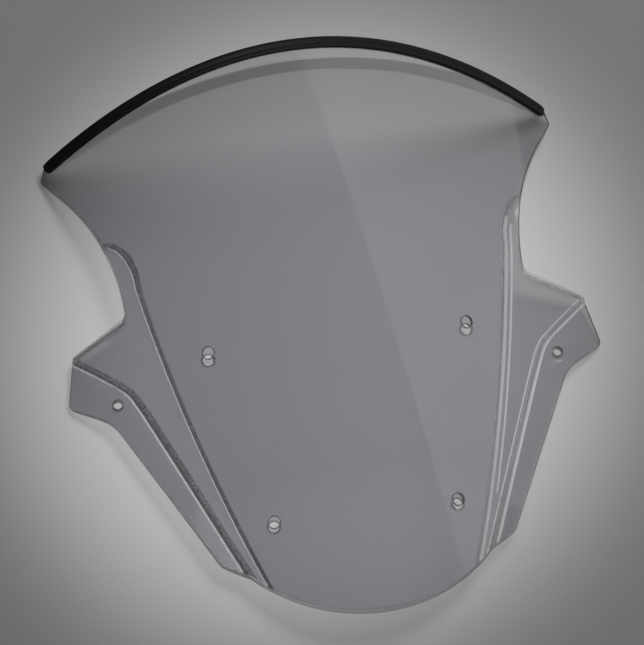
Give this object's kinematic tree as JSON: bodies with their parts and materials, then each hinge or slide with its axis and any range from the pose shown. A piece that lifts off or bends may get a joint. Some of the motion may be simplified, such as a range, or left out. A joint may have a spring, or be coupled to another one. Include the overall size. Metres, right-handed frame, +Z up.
{
  "type": "motorcycle windscreen",
  "caption": "Clear grey formed motorcycle windscreen with stepped side wings, bolt holes and a black rubber trim on its top edge.",
  "frame": {"origin": "centre of the bounding box in X and Y, at the table, which the top corners and wing tips touch", "axes": "+X to the right across the screen, +Y to the trimmed top edge, +Z up out of the bulge; the mirror plane is X = 0"},
  "size_m": [0.457, 0.485, 0.11],
  "materials": {
    "screen_sheet": "clear light grey polycarbonate, polished both faces",
    "edge_trim": "black extruded rubber, satin",
    "trim_adhesive": "soft bonding strip inside the trim"
  },
  "bodies": {
    "root": {"screen_sheet": "screen_sheet", "edge_trim": "edge_trim", "trim_adhesive": "trim_adhesive"}
  },
  "joints": []
}
